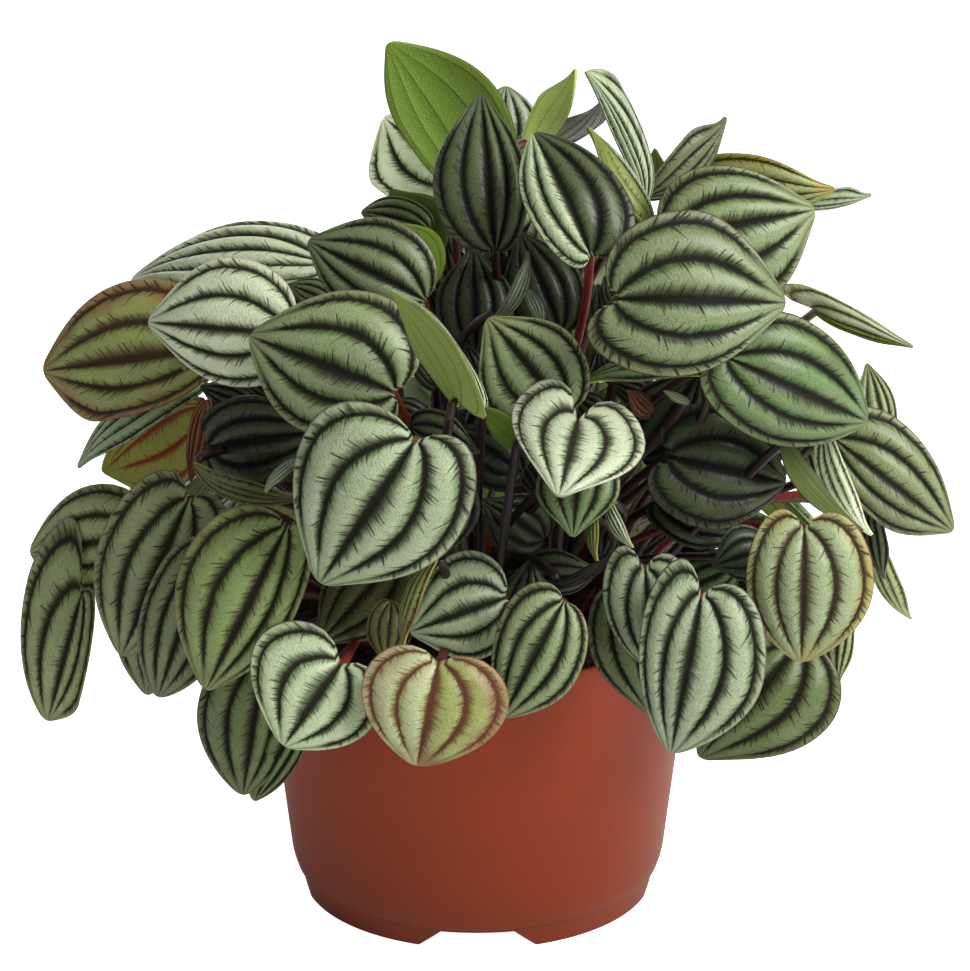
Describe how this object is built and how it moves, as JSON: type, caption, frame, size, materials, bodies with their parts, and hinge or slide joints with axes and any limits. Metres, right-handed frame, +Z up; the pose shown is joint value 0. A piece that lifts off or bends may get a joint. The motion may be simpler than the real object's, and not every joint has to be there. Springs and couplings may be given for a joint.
{
  "type": "potted plant",
  "caption": "Bushy peperomia with furrowed, silver-banded heart-shaped leaves on red stalks, in a thin terracotta-coloured nursery pot.",
  "frame": {"origin": "on the floor, under the middle of the pot", "axes": "+Z up, -Y towards the front of the plant, +X to its right as seen from the front"},
  "size_m": [0.2469, 0.222, 0.23],
  "materials": {
    "pot": "satin",
    "soil": "matte",
    "foliage": "satin"
  },
  "bodies": {
    "root": {"pot": "pot", "soil": "soil", "leafy_stem_crown_left": "foliage", "leafy_stem_crown_right": "foliage", "leafy_stem_right_back": "foliage", "leafy_stem_back_right": "foliage", "leafy_stem_back": "foliage", "leafy_stem_back_left": "foliage", "leafy_stem_left_back": "foliage", "leafy_stem_left_front": "foliage", "leafy_stem_front_left": "foliage", "leafy_stem_front": "foliage", "leafy_stem_front_right": "foliage", "leafy_stem_right_front": "foliage"}
  },
  "joints": []
}
